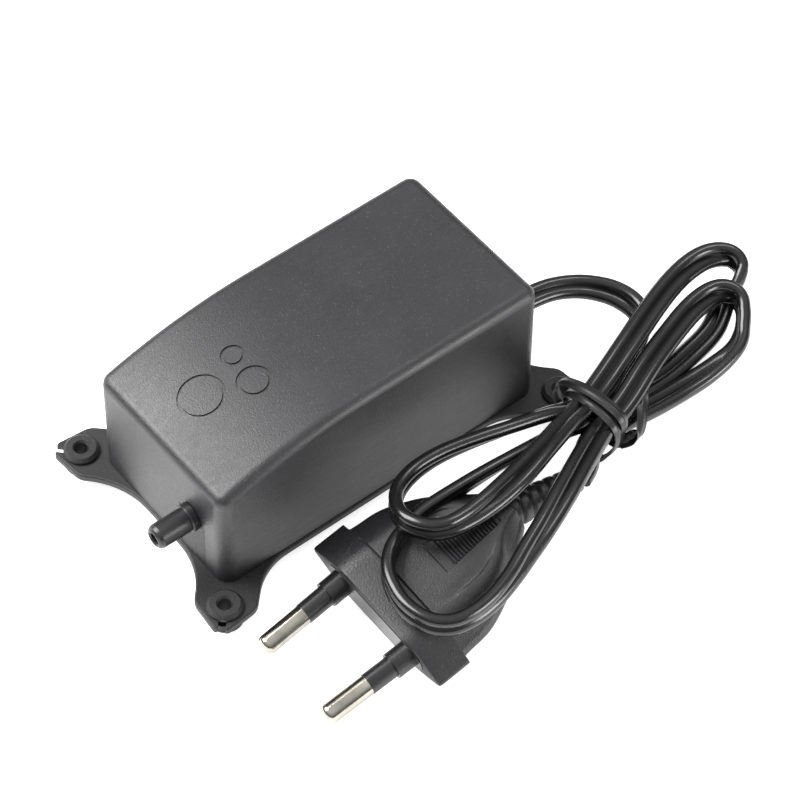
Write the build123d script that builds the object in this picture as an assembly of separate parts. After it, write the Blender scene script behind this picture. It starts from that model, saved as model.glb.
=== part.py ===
from build123d import *
import math
import os

os.makedirs("parts", exist_ok=True)

# An aquarium air pump: a moulded cover on an eared base plate that stands on four rubber grommet feet,
# a vibrating magnet arm between a coil and a rubber diaphragm, a valve head that feeds the outlet nozzle,
# and a short flat mains cord tied in a hank, with a moulded two-pin plug.
# Millimetres. +Z is up, the outlet nozzle points along -Y, and the cord leaves at +Y. The values below
# measure y from the middle of the four cover screws. The saved parts are moved so that their origin is
# the centre of the four foot holes, on the surface that the pump stands on.

# Cover
cover_width = 38.5
cover_front_y = -36.7
cover_rear_y = 38.0
cover_bottom = 4.0
cover_rear_top = 33.8
cover_front_top = 27.8
top_bend_y = -2.0
wall = 2.0
draft_angle = 0.6
corner_radius = 2.9
top_edge_radius = 2.3
inner_share = 0.6  # how much of the wall's thickness the inner edges' radii lose
emblem_depth = 0.3
emblem_rings = [(-1.5, -25.5, 4.2), (2.6, -16.6, 3.0), (-4.4, -16.2, 2.0)]
emblem_line = 0.7

# Base plate and ears
base_bottom = 2.4
base_top = 3.8
base_half_width = 19.6
base_front_y = -37.0
base_rear_y = 38.3
foot_x = 22.6
foot_front_y = -39.2
foot_rear_y = 41.2
ear_half_width = 5.9
ear_shoulder = -0.5  # the rest of an ear is measured outwards from its foot, along its diagonal
ear_tip = 4.9
ear_tip_half_width = 1.4
end_flare = 17.0
side_flare = 13.0
shoulder_radius = 3.4
tip_radius = 0.9
ear_slot = 1.6
ear_hole_radius = 2.3
base_edge_round = 0.35
lip_top = 6.2
lip_thickness = 1.2
lip_clearance = 0.15

# Rubber grommet feet
foot_radius = 3.45
foot_bore = 1.25
foot_neck = 2.28
foot_top = 5.0

# Screws that hold the cover
boss_x = 14.7
boss_y = 30.8
boss_radius = 2.3
screw_radius = 1.1
screw_head_radius = 2.1
screw_seat = 2.8
screw_tip = 12.0

# Outlet nozzle, on an axis along Y
nozzle_x = 9.7
nozzle_z = 16.0
nozzle_tip_y = -45.2
nozzle_radius = 2.45
nozzle_bore = 1.2
collar_radius = 2.85
barb_radius = 1.8
hose_radius = 2.4
tab_half_width = 3.65
slot_gap = 0.15

# Cord gland at the rear
gland_x = 5.2
gland_z = 11.0
gland_half_width = 3.15
gland_sill = 7.6
gland_face_y = cover_rear_y + 0.05
boot_end_y = gland_face_y + 7.95
clamp_y0 = 30.6
clamp_y1 = 32.6
clamp_z = 13.4
clamp_screw_x = gland_x + 4.2
clamp_screw_y = (clamp_y0 + clamp_y1) / 2

# Pump head: its centre in Y and Z, and its faces along X
head_y = -17.75
head_z = 16.0
head_half_y = 8.25
head_half_z = 8.5
head_x0 = 4.0
head_x1 = 12.0
chamber_floor = 6.5
plate_back = 7.5
chamber_radius = 6.3
gasket_thickness = 0.5
cap_thickness = 1.8
head_screw_radius = 0.8
head_screw_y = 6.9
head_screw_z = 7.1
pocket_half_z = 4.0
outlet_pocket = (-24.8, -18.4)
intake_pocket = (-17.1, -10.7)
outlet_port_y = -21.2
intake_port_y = -14.2
port_radius = 1.0
duct_x = 9.7
duct_radius = 1.2

# Magnet arm, which swings on a vertical pin
pivot_y = -29.8
pin_radius = 1.0
running_gap = 0.03
bush_radius = 2.4
eye_radius = 3.7
arm_half_thickness = 1.0
arm_z0 = 11.0
arm_z1 = 21.0
tee_y0 = 3.2
tee_y1 = 5.2
magnet_y1 = 7.6
magnet_half_width = 6.0

# Electromagnet
core_front = 9.0
core_back = 27.0
yoke = 5.0
core_z0 = 12.0
core_z1 = 20.0
centre_leg = 3.5
outer_leg_in = 10.0
outer_leg_out = 14.5
bobbin_wall = 0.8
bobbin_flange = 9.2
winding_size = 8.4
tape_thickness = 0.3
core_screw_x = 12.2
core_screw_y = 24.5

# Cord: a flat twin lead, here a plain tube with nearly its section area
cord_radius = 1.9
cord_inner_end = 30.4
cord_route = [
    (5.2, 45.9, 11.0),
    (5.4, 50.5, 10.6),
    (6.6, 55.3, 9.9),
    (9.2, 60.0, 9.0),
    (13.6, 63.9, 8.0),
    (19.2, 65.0, 7.1),
    (23.6, 61.6, 6.5),
    (26.0, 56.0, 6.2),
]
tail_route = [
    (44.0, 27.0, 10.5),
    (43.4, 30.4, 10.1),
    (41.2, 33.4, 9.3),
    (38.6, 36.2, 8.4),
    (37.0, 39.4, 7.5),
]

# Plug: the middle of its front face, its tilt, and its own sizes
plug_place = (42.9, -20.25, 6.6)
plug_yaw = 0.6
plug_pitch = 10.0
plug_roll = 7.0
plug_half_width = 17.9
plug_half_height = 5.0
flange_depth = 7.2
pin_length = 19.3
pin_half_pitch = 9.3
pin_tip_half_pitch = 8.75
plug_pin_radius = 2.0
pin_core_radius = 1.5
sleeve_length = 9.5
sleeve_radius = 2.1
pin_collar_radius = 2.6
pin_collar_length = 4.0
relief_root = 31.0
relief_end = (44.0, 27.0, 10.5)
plug_clearance = 0.4

origin_y = (foot_front_y + foot_rear_y) / 2
cover_length = cover_rear_y - cover_front_y
cover_middle_y = (cover_rear_y + cover_front_y) / 2
inner_front_y = cover_front_y + wall
inner_rear_y = cover_rear_y - wall


def save(node, shape):
    export_step(Pos(0, -origin_y, 0) * shape, f"parts/{node}.step")


def block(x0, x1, y0, y1, z0, z1):
    """A box between two values on each axis."""
    return Pos((x0 + x1) / 2, (y0 + y1) / 2, (z0 + z1) / 2) * Box(x1 - x0, y1 - y0, z1 - z0)


def rod(radius, start, direction, length):
    """A cylinder from a point, along a direction."""
    plane = Plane(origin=start, z_dir=direction)
    return extrude(plane * Circle(radius), length)


def lathe_z(points, x=0.0, y=0.0):
    """A ring turned about a vertical axis, from (radius, height) corners."""
    return Pos(x, y, 0) * revolve(make_face(Plane.XZ * Polyline(*points, close=True)), Axis.Z)


def lathe_y(points, x, z):
    """A ring turned about an axis along Y, from (radius, y) corners."""
    return Pos(x, 0, z) * revolve(make_face(Plane.XY * Polyline(*points, close=True)), Axis.Y)


def lathe_x(points, y, z):
    """A ring turned about an axis along X, from (x, radius) corners."""
    return Pos(0, y, z) * revolve(make_face(Plane.XY * Polyline(*points, close=True)), Axis.X)


def unit_sum(centre, a, b):
    """The direction from a centre to the middle of the arc between two points."""
    dx = a[0] + b[0] - 2 * centre[0]
    dy = a[1] + b[1] - 2 * centre[1]
    size = math.hypot(dx, dy)
    return dx / size, dy / size


def cover_form(inset, bottom, drop):
    """The drafted block under the cover's bent top, smaller by an inset and lower by a drop."""
    width = cover_width - 2 * inset
    length = cover_length - 2 * inset
    radius = corner_radius - inset * inner_share
    height = 40.0
    block_form = extrude(
        Plane((0, cover_middle_y, bottom)) * RectangleRounded(width, length, radius),
        height,
        taper=draft_angle,
    )
    fall = cover_rear_top - cover_front_top
    reach = top_bend_y - cover_front_y
    bend_radius = (reach * reach + fall * fall) / (2 * fall)
    rear = cover_rear_top - drop
    front_y = cover_front_y - 4.0
    turn = math.asin((top_bend_y - front_y) / bend_radius)
    front = rear - bend_radius * (1 - math.cos(turn))
    middle = rear - bend_radius * (1 - math.cos(turn / 2))
    middle_y = top_bend_y - bend_radius * math.sin(turn / 2)
    side = make_face(
        [
            Line((60.0, rear), (top_bend_y, rear)),
            ThreePointArc((top_bend_y, rear), (middle_y, middle), (front_y, front)),
            Line((front_y, front), (front_y, -5.0)),
            Line((front_y, -5.0), (60.0, -5.0)),
            Line((60.0, -5.0), (60.0, rear)),
        ]
    )
    keep = extrude(Plane.YZ * side, 30.0, both=True)
    form = block_form & keep
    rim = []
    for edge in form.edges():
        on_top = edge.bounding_box().min.Z > front - 0.6
        across_bend = abs(edge.center().X) + abs(edge.center().Y - top_bend_y) < 1.0
        if on_top and not across_bend:
            rim.append(edge)
    return fillet(rim, top_edge_radius - inset * inner_share)


def ear_corners(edge_y, foot_y):
    """One ear's sharp corners in the +X, +Y quarter, from the base's end at edge_y round to its side."""
    diagonal = math.sqrt(0.5)

    def at(out, across):
        return foot_x + (out + across) * diagonal, foot_y + (out - across) * diagonal

    end_shoulder = at(ear_shoulder, -ear_half_width)
    side_shoulder = at(ear_shoulder, ear_half_width)
    return [
        (end_shoulder[0] - (end_shoulder[1] - edge_y), edge_y),
        end_shoulder,
        at(ear_tip, -ear_tip_half_width),
        at(ear_tip, ear_tip_half_width),
        side_shoulder,
        (base_half_width, side_shoulder[1] - (side_shoulder[0] - base_half_width)),
    ]


def base_quarter(edge_y, foot_y):
    """A quarter of the base plate's outline, with one ear and its flares, in +X and +Y."""
    radii = [end_flare, shoulder_radius, tip_radius, tip_radius, shoulder_radius, side_flare]
    corners_xy = ear_corners(edge_y, foot_y)
    outline = FilletPolyline((0, edge_y), *corners_xy, (base_half_width, 0), radius=radii)
    closing = Polyline((base_half_width, 0), (0, 0), (0, edge_y))
    return make_face([*outline.edges(), *closing.edges()])


outer_form = cover_form(0.0, cover_bottom, 0.0)
inner_form = cover_form(wall, cover_bottom - 1.0, wall)
corners = [(sx * boss_x, sy * boss_y) for sx in (-1, 1) for sy in (-1, 1)]
feet = {
    "foot_front_left": (-foot_x, foot_front_y),
    "foot_front_right": (foot_x, foot_front_y),
    "foot_rear_left": (-foot_x, foot_rear_y),
    "foot_rear_right": (foot_x, foot_rear_y),
}


def make_cover():
    shell = outer_form - inner_form
    for x, y in corners:
        column = rod(boss_radius, (x, y, base_top + 0.05), (0, 0, 1), 34.0) & outer_form
        shell = shell + column
    for x, y in corners:
        shell = shell - rod(screw_radius, (x, y, 0), (0, 0, 1), screw_tip + 1.0)
    half = tab_half_width + slot_gap
    outside = cover_front_y - 3
    shell = shell - block(nozzle_x - half, nozzle_x + half, outside, inner_front_y + 2, 0, nozzle_z)
    shell = shell - rod(nozzle_radius + slot_gap, (nozzle_x, outside, nozzle_z), (0, 1, 0), 8)
    half = gland_half_width + slot_gap
    shell = shell - block(gland_x - half, gland_x + half, inner_rear_y - 2, cover_rear_y + 2, 0, gland_z)
    shell = shell - rod(half, (gland_x, inner_rear_y - 2, gland_z), (0, 1, 0), 8)
    for x, y, radius in emblem_rings:
        ring = rod(radius + emblem_line / 2, (x, y, 20), (0, 0, 1), 20)
        ring = ring - rod(radius - emblem_line / 2, (x, y, 20), (0, 0, 1), 20)
        shell = shell - (ring - Pos(0, 0, -emblem_depth) * outer_form)
    return shell


def make_base():
    rear = base_quarter(base_rear_y, foot_rear_y)
    front = mirror(base_quarter(-base_front_y, -foot_front_y), Plane.XZ)
    half = rear + front
    outline = half + mirror(half, Plane.YZ)
    plate = extrude(Plane.XY.offset(base_bottom) * outline, base_top - base_bottom)
    plate = fillet(plate.edges().group_by(Axis.Z)[-1], base_edge_round)
    for x, y in feet.values():
        plate = plate - rod(ear_hole_radius, (x, y, 0), (0, 0, 1), 10)
        turn = math.degrees(math.atan2(math.copysign(1, y), math.copysign(1, x)))
        slot = Rot(0, 0, turn) * block(0, 12, -ear_slot / 2, ear_slot / 2, 0, 10)
        plate = plate - Pos(x, y, 0) * slot
    lip_inset = wall + lip_clearance
    lip_outer = RectangleRounded(cover_width - 2 * lip_inset, cover_length - 2 * lip_inset, 3.2)
    lip_inset = lip_inset + lip_thickness
    lip_inner = RectangleRounded(cover_width - 2 * lip_inset, cover_length - 2 * lip_inset, 2.2)
    lip_plane = Plane((0, cover_middle_y, base_top))
    lip = extrude(lip_plane * (lip_outer - lip_inner), lip_top - base_top, taper=draft_angle)
    for x, y in corners:
        lip = lip - rod(boss_radius + 0.4, (x, y, 0), (0, 0, 1), 10)
    plate = plate + lip
    # The upright tab that closes the cover's slot below the nozzle, flush with the cover's face.
    tab_x0 = nozzle_x - tab_half_width
    tab_x1 = nozzle_x + tab_half_width
    tab = block(tab_x0, tab_x1, cover_front_y - 3, inner_front_y, base_top - 0.5, nozzle_z)
    tab = tab & cover_form(0.05, base_bottom, 0.0)
    plate = plate + tab - rod(nozzle_radius, (nozzle_x, -40, nozzle_z), (0, 1, 0), 10)
    gland_x0 = gland_x - gland_half_width
    gland_x1 = gland_x + gland_half_width
    sill = block(gland_x0, gland_x1, inner_rear_y + 0.1, cover_rear_y + 2, base_top - 0.5, gland_sill)
    plate = plate + (sill & cover_form(0.05, base_bottom, 0.0))
    # Posts for the core, the arm's pin, the pump head and the cord clamp.
    for side in (-1, 1):
        foot = (side * core_screw_x, core_screw_y, base_top)
        plate = plate + rod(2.8, foot, (0, 0, 1), core_z0 - base_top)
        plate = plate - rod(1.0, (side * core_screw_x, core_screw_y, 4.5), (0, 0, 1), 20)
        plate = plate + rod(2.0, (side * core_screw_x, 12.0, base_top), (0, 0, 1), core_z0 - base_top)
    plate = plate + rod(3.0, (0, pivot_y, base_top), (0, 0, 1), 5.5)
    plate = plate - rod(pin_radius, (0, pivot_y, 5.0), (0, 0, 1), 20)
    head_bottom = head_z - head_half_z
    plate = plate + block(5, 12, -25.5, -22.5, base_top, head_bottom)
    plate = plate + block(5, 12, -10.6, -9.6, base_top, head_bottom)
    plate = plate + block(gland_x - 4.6, gland_x - 2.1, clamp_y0, clamp_y1, base_top, clamp_z)
    plate = plate + block(gland_x + 2.1, gland_x + 6.1, clamp_y0, clamp_y1, base_top, clamp_z)
    plate = plate - rod(head_screw_radius, (clamp_screw_x, clamp_screw_y, 8.0), (0, 0, 1), 8)
    # Screw holes with sunk heads, and the air intake under the filter.
    for x, y in corners:
        plate = plate - rod(screw_radius + 0.2, (x, y, 0), (0, 0, 1), 10)
        plate = plate - rod(screw_head_radius + 0.2, (x, y, 0), (0, 0, 1), screw_seat)
    for x in (8.5, 11.0):
        for y in (-15.3, -12.7):
            plate = plate - rod(0.6, (x, y, 0), (0, 0, 1), 5)
    return plate


def make_foot(x, y):
    bottom_ring = base_bottom - 0.05
    top_ring = base_top + 0.05
    return lathe_z(
        [
            (foot_bore, 0.0),
            (foot_radius - 0.3, 0.0),
            (foot_radius, 0.3),
            (foot_radius, bottom_ring),
            (foot_neck, bottom_ring),
            (foot_neck, top_ring),
            (foot_radius, top_ring),
            (foot_radius, foot_top - 0.6),
            (foot_radius - 0.6, foot_top),
            (foot_bore + 0.4, foot_top),
            (foot_bore, foot_top - 0.4),
        ],
        x,
        y,
    )


def make_cover_screw(x, y):
    shank = rod(screw_radius, (x, y, screw_seat - 0.3), (0, 0, 1), screw_tip - screw_seat + 0.3)
    head = rod(screw_head_radius, (x, y, screw_seat - 1.05), (0, 0, 1), 1.0)
    cross_top = screw_seat - 0.6
    cross = block(-1.2, 1.2, -0.2, 0.2, 0, cross_top) + block(-0.2, 0.2, -1.2, 1.2, 0, cross_top)
    return head + shank - Pos(x, y, 0) * cross


def make_nozzle():
    return lathe_y(
        [
            (nozzle_bore, nozzle_tip_y + 0.3),
            (nozzle_bore + 0.3, nozzle_tip_y),
            (nozzle_radius - 0.7, nozzle_tip_y),
            (nozzle_radius - 0.25, nozzle_tip_y + 0.35),
            (nozzle_radius, nozzle_tip_y + 1.0),
            (nozzle_radius, cover_front_y - 1.4),
            (collar_radius - 0.15, cover_front_y - 1.4),
            (collar_radius, cover_front_y - 1.2),
            (collar_radius, cover_front_y - 0.05),
            (nozzle_radius, cover_front_y - 0.05),
            (nozzle_radius, inner_front_y + 0.55),
            (3.2, inner_front_y + 0.55),
            (3.2, inner_front_y + 1.55),
            (barb_radius, inner_front_y + 1.55),
            (barb_radius, -29.6),
            (nozzle_bore, -29.6),
        ],
        nozzle_x,
        nozzle_z,
    )


def make_gland():
    flange = Plane(origin=(gland_x, gland_face_y, gland_z), x_dir=(1, 0, 0), z_dir=(0, 1, 0))
    rim = extrude(flange * RectangleRounded(9.6, 9.0, 3.0), 1.1)
    wide = flange.offset(1.0) * RectangleRounded(7.6, 8.4, 3.0)
    narrow = flange.offset(boot_end_y - gland_face_y) * RectangleRounded(4.8, 6.8, 2.1)
    boot = loft([wide, narrow])
    for step in range(3):
        ring = RectangleRounded(12, 12, 3) - RectangleRounded(4.6, 6.4, 2.0)
        groove = flange.offset(2.05 + step * 1.9) * ring
        boot = boot - extrude(groove, 0.8)
    gland_x0 = gland_x - gland_half_width
    gland_x1 = gland_x + gland_half_width
    inside_y = inner_rear_y - 0.5
    neck = block(gland_x0, gland_x1, inside_y, gland_face_y + 0.05, gland_sill + 0.1, gland_z)
    arch = rod(gland_half_width, (gland_x, inside_y, gland_z), (0, 1, 0), gland_face_y + 0.05 - inside_y)
    half = gland_half_width + 1.05
    inner_top = gland_z + half
    inner = block(gland_x - half, gland_x + half, inside_y - 1.0, inside_y + 0.05, gland_sill - 1.0, inner_top)
    body = rim + boot + neck + arch + inner
    return body - rod(cord_radius, (gland_x, 30, gland_z), (0, 1, 0), 20)


def head_plate(x0, x1, pockets):
    """One layer of the pump head, with its screw holes and its two pockets."""
    y0 = head_y - head_half_y
    z0 = head_z - head_half_z
    plate = block(x0, x1, y0, y0 + 2 * head_half_y, z0, z0 + 2 * head_half_z)
    for dy in (-head_screw_y, head_screw_y):
        for dz in (-head_screw_z, head_screw_z):
            start = (x0 - 1, head_y + dy, head_z + dz)
            plate = plate - rod(head_screw_radius, start, (1, 0, 0), x1 - x0 + 2)
    for y0, y1 in pockets:
        plate = plate - block(plate_back, x1 + 1, y0, y1, head_z - pocket_half_z, head_z + pocket_half_z)
    return plate


def make_head():
    body = head_plate(head_x0, head_x1, (outlet_pocket, intake_pocket))
    body = body - rod(chamber_radius, (0, head_y, head_z), (1, 0, 0), chamber_floor)
    for y in (outlet_port_y, intake_port_y):
        body = body - rod(port_radius, (chamber_floor - 1, y, head_z), (1, 0, 0), 3)
    front = head_y - head_half_y
    body = body + rod(barb_radius, (duct_x, front + 0.5, head_z), (0, -1, 0), 3.1)
    body = body - rod(duct_radius, (duct_x, outlet_pocket[0] + 1, head_z), (0, -1, 0), 8)
    middle = sum(intake_pocket) / 2
    return body - rod(duct_radius, (duct_x, middle, head_z), (0, 0, -1), 12)


def make_head_screw(dy, dz):
    y = head_y + dy
    z = head_z + dz
    face = head_x1 + gasket_thickness + cap_thickness
    head = rod(1.5, (face, y, z), (1, 0, 0), 1.1)
    return head + rod(head_screw_radius, (2.0, y, z), (1, 0, 0), face - 2.0)


def make_diaphragm():
    flange = head_plate(3.0, head_x0, ())
    flange = flange - rod(6.2, (0, head_y, head_z), (1, 0, 0), 8)
    web = lathe_x(
        [
            (3.3, 3.0),
            (3.3, 3.9),
            (2.4, 4.5),
            (2.4, 5.5),
            (3.0, 6.0),
            (3.0, 6.4),
            (4.0, 6.4),
            (4.0, 6.1),
            (3.1, 5.4),
            (3.1, 4.6),
            (4.0, 4.0),
            (4.0, 3.0),
        ],
        head_y,
        head_z,
    )
    boss = rod(3.2, (arm_half_thickness, head_y, head_z), (1, 0, 0), 3.6)
    return flange + web + boss - rod(0.8, (0, head_y, head_z), (1, 0, 0), 8)


def make_clamp_plate():
    return head_plate(2.0, 3.0, ()) - rod(6.5, (0, head_y, head_z), (1, 0, 0), 8)


def make_arm():
    arm = block(-arm_half_thickness, arm_half_thickness, pivot_y, tee_y0 + 1, arm_z0, arm_z1)
    arm = arm + rod(eye_radius, (0, pivot_y, arm_z0), (0, 0, 1), arm_z1 - arm_z0)
    arm = arm + block(-magnet_half_width - 0.6, magnet_half_width + 0.6, tee_y0, tee_y1, 9.9, 22.1)
    for side in (-1, 1):
        lug = block(magnet_half_width, magnet_half_width + 0.6, tee_y0, tee_y1 + 1.4, 12.0, 20.0)
        arm = arm + (lug if side > 0 else mirror(lug, Plane.YZ))
    arm = arm - rod(bush_radius, (0, pivot_y, 0), (0, 0, 1), 40)
    return arm - rod(0.75, (-5, head_y, head_z), (1, 0, 0), 10)


def make_bush():
    bush = rod(bush_radius, (0, pivot_y, arm_z0 - 0.6), (0, 0, 1), arm_z1 - arm_z0 + 1.2)
    return bush - rod(pin_radius + running_gap, (0, pivot_y, 0), (0, 0, 1), 40)


def make_core():
    core = block(-outer_leg_out, outer_leg_out, core_front, core_back, core_z0, core_z1)
    for side in (-1, 1):
        window = block(centre_leg, outer_leg_in, core_front - 1, core_back - yoke, core_z0 - 1, core_z1 + 1)
        core = core - (window if side > 0 else mirror(window, Plane.YZ))
        core = core - rod(1.0, (side * core_screw_x, core_screw_y, 0), (0, 0, 1), 40)
    return core


def make_coil():
    middle = (core_z0 + core_z1) / 2
    half_height = (core_z1 - core_z0) / 2
    y0 = core_front + 0.3
    y1 = core_back - yoke - 0.3
    side = Plane(origin=(0, y0, middle), x_dir=(1, 0, 0), z_dir=(0, 1, 0))
    hole = RectangleRounded(2 * centre_leg + 0.1, 2 * half_height + 0.1, 0.01)
    sleeve = RectangleRounded(2 * (centre_leg + bobbin_wall), 2 * (half_height + bobbin_wall), 0.5)
    rim = RectangleRounded(2 * bobbin_flange, 2 * bobbin_flange, 1.2)
    wound = RectangleRounded(2 * winding_size, 2 * winding_size, 2.4)
    taped = RectangleRounded(2 * (winding_size + tape_thickness), 2 * (winding_size + tape_thickness), 2.6)
    length = y1 - y0
    bobbin = extrude(side * sleeve, length)
    bobbin = bobbin + extrude(side * rim, bobbin_wall)
    bobbin = bobbin + extrude(side.offset(length - bobbin_wall) * rim, bobbin_wall)
    bobbin = bobbin - extrude(side * hole, length)
    inside = side.offset(bobbin_wall)
    between = length - 2 * bobbin_wall
    winding = extrude(inside * (wound - sleeve), between)
    tape = extrude(inside * (taped - wound), between)
    return bobbin, winding, tape


def turn_degrees(a, b, c):
    return (Vector(*b) - Vector(*a)).get_angle(Vector(*c) - Vector(*b))


def tube(points, radius, name):
    """A round tube along straight runs, with arcs as large as each pair of runs allows."""
    radii = []
    for a, b, c in zip(points, points[1:], points[2:]):
        run = min(math.dist(a, b), math.dist(b, c))
        radii.append(0.45 * run / math.tan(math.radians(turn_degrees(a, b, c) / 2)))
    path = FilletPolyline(*points, radius=radii)
    solid = sweep(Plane(origin=path @ 0, z_dir=path % 0) * Circle(radius), path=path)
    expected = math.pi * radius * radius * path.length
    print(name, "length", round(path.length, 1), "volume ratio", round(solid.volume / expected, 4))
    print("  radii", [round(r, 1) for r in radii])
    return solid


def make_leads():
    rise = 28.9
    top = 23.0
    left = [
        (gland_x - 0.8, cord_inner_end, 9.9), (2.8, 29.2, 12.0), (-1.4, rise, 18.0),
        (-3.2, 26.4, top), (-3.2, 21.8, top + 0.4),
    ]
    right = [
        (gland_x + 0.8, cord_inner_end, 12.1), (6.4, 29.2, 14.4), (5.6, rise, 18.6),
        (3.4, 26.4, top), (3.2, 21.8, top + 0.4),
    ]
    return tube(left, 0.65, "lead_wire_left"), tube(right, 0.65, "lead_wire_right")


# The plug's own frame: its front face is at y = 0, its pins point along -Y, and its body runs along +Y.
plug_frame = (
    Pos(*plug_place) * Rot(0, 0, plug_yaw) * Rot(plug_pitch, 0, 0) * Rot(0, plug_roll, 0)
)


def lens(half_width, half_height, flat, edge, y):
    """A flange section: flat top and bottom, sides that slope to a blunt edge."""
    plane = Plane(origin=(0, y, 0), x_dir=(1, 0, 0), z_dir=(0, -1, 0))
    points = [
        (half_width, -edge), (half_width, edge), (flat, half_height), (-flat, half_height),
        (-half_width, edge), (-half_width, -edge), (-flat, -half_height), (flat, -half_height),
    ]
    return plane * make_face(Polyline(*points, close=True))


def make_plug(grow=0.0):
    """The flange with the body behind it, and the strain relief; larger all round by grow."""
    stations = [
        (-grow, plug_half_width, plug_half_height, 9.4, 0.7),
        (flange_depth + grow, plug_half_width, plug_half_height, 9.4, 0.7),
        (flange_depth - 0.2, 16.4, 4.7, 9.0, 1.4),
        (13.0, 15.8, 4.7, 8.6, 1.6),
        (20.0, 13.2, 4.6, 6.6, 1.8),
        (26.0, 9.2, 4.3, 4.4, 1.9),
        (32.0, 4.6, 3.8, 2.2, 1.8),
    ]
    sections = [lens(w + grow, h + grow, flat, edge, y) for y, w, h, flat, edge in stations]
    flange = loft(sections[:2])
    body = loft(sections[2:], ruled=True)
    root = plug_frame * Pos(0, relief_root, 0)
    start = Vector(*root.position)
    end = Vector(*relief_end)
    axis = (end - start).normalized()
    plane = Plane(origin=start, z_dir=axis)
    length = (end - start).length
    cone = loft([plane * Circle(3.6 + grow), plane.offset(length) * Circle(2.5 + grow)])
    return plug_frame * (flange + body) + cone


def plug_pin(side):
    """A bare nickel tip on a thin core, and the black sleeve with its collar around the core."""
    lean = math.degrees(math.atan2(pin_half_pitch - pin_tip_half_pitch, pin_length))
    place = plug_frame * Pos(side * pin_half_pitch, 0, 0) * Rot(0, 0, -side * lean)
    core = rod(pin_core_radius, (0, 6.0, 0), (0, -1, 0), 6.0 + sleeve_length)
    tip = rod(plug_pin_radius, (0, -sleeve_length, 0), (0, -1, 0), pin_length - sleeve_length)
    tip = fillet(tip.edges().group_by(Axis.Y)[0], 1.2)
    sleeve = rod(sleeve_radius, (0, 0, 0), (0, -1, 0), sleeve_length)
    sleeve = sleeve + rod(pin_collar_radius, (0, 0, 0), (0, -1, 0), pin_collar_length)
    sleeve = sleeve - rod(pin_core_radius, (0, 1, 0), (0, -1, 0), 30)
    return place * (core + tip), place * sleeve


def make_hank():
    """The tied bundle's outer shape: a waist, two loops on the floor side, two loops over the plug."""
    waist = block(28.4, 38.4, 38.6, 47.6, 3.9, 14.4)
    floor_loops = [
        (28.4, 47.0), (23.6, 54.0), (18.4, 66.8), (15.6, 75.5), (14.8, 83.0), (16.4, 88.6), (20.0, 92.0),
        (25.0, 91.6), (32.5, 86.0), (36.2, 82.4), (38.2, 77.0), (39.0, 66.0), (39.0, 50.0), (38.4, 47.0),
    ]
    floor_side = extrude(Plane.XY.offset(0.2) * make_face(Polyline(*floor_loops, close=True)), 14.0)
    plug_loops = [
        (28.6, 36.0), (26.8, 22.0), (25.0, 13.0), (24.2, 5.0), (24.8, -2.0), (27.2, -7.6), (32.6, -11.0),
        (35.0, -16.0), (38.6, -19.4), (43.2, -21.0), (49.0, -21.6), (54.6, -20.6), (58.6, -17.6),
        (60.6, -12.4), (60.4, -5.0), (58.2, 2.4), (54.0, 13.6), (49.4, 23.0), (43.0, 33.4), (38.4, 36.0),
    ]
    plug_side = extrude(Plane.XY.offset(12.6) * make_face(Polyline(*plug_loops, close=True)), 9.2)
    ramp = [(32.0, 13.0), (32.0, 21.8), (36.0, 20.0), (40.6, 14.4), (40.6, 5.0), (38.6, 5.0), (36.0, 9.0)]
    bridge = extrude(Plane.YZ.offset(29.0) * make_face(Polyline(*ramp, close=True)), 9.4)
    return waist + floor_side + plug_side + bridge - make_plug(plug_clearance)


def make_tie():
    """Two flat turns round the waist and the twisted tail that closes them."""
    tie = None
    for y0 in (41.0, 43.6):
        turn = block(27.6, 39.2, y0, y0 + 1.9, 3.1, 15.2) - block(28.4, 38.4, y0 - 1, y0 + 3, 3.9, 14.4)
        tie = turn if tie is None else tie + turn
    return tie + block(39.1, 42.0, 42.0, 44.6, 7.0, 9.0)


save("top_cover", make_cover())
save("base_plate", make_base())
for name, (x, y) in feet.items():
    save(name, make_foot(x, y))
save("cover_screws", Compound([make_cover_screw(x, y) for x, y in corners]))
save("outlet_nozzle", make_nozzle())
hose = rod(hose_radius, (nozzle_x, -32.7, nozzle_z), (0, 1, 0), 6.6)
hose = hose - rod(barb_radius, (nozzle_x, -34, nozzle_z), (0, 1, 0), 10)
save("outlet_hose", hose)
save("cord_gland", make_gland())
clamp_hole = rod(head_screw_radius, (clamp_screw_x, clamp_screw_y, 8.4), (0, 0, 1), clamp_z + 1.8 - 8.4)
clamp = block(gland_x - 4.6, gland_x + 6.1, clamp_y0, clamp_y1, clamp_z, clamp_z + 1.8)
save("cord_clamp", clamp - clamp_hole)
clamp_screw = clamp_hole + rod(1.6, (clamp_screw_x, clamp_screw_y, clamp_z + 1.8), (0, 0, 1), 1.1)
save("cord_clamp_screw", clamp_screw)

save("head_body", make_head())
gasket_end = head_x1 + gasket_thickness
save("head_gasket", head_plate(head_x1, gasket_end, (outlet_pocket, intake_pocket)))
save("head_cap", head_plate(gasket_end, gasket_end + cap_thickness, ()))
screws = []
for dy in (-head_screw_y, head_screw_y):
    for dz in (-head_screw_z, head_screw_z):
        screws.append(make_head_screw(dy, dz))
save("head_screws", Compound(screws))
save("diaphragm", make_diaphragm())
save("diaphragm_clamp", make_clamp_plate())
washer = rod(2.6, (4.6, head_y, head_z), (1, 0, 0), 0.6) - rod(0.75, (0, head_y, head_z), (1, 0, 0), 9)
save("diaphragm_washer", washer)
arm_screw = rod(1.6, (-2.1, head_y, head_z), (1, 0, 0), 1.1)
arm_screw = arm_screw + rod(0.75, (-1.5, head_y, head_z), (1, 0, 0), 7.3)
save("diaphragm_screw", arm_screw)
save("outlet_flap", block(plate_back, plate_back + 0.5, -24.2, -19.6, head_z - 2, head_z + 2))
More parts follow.
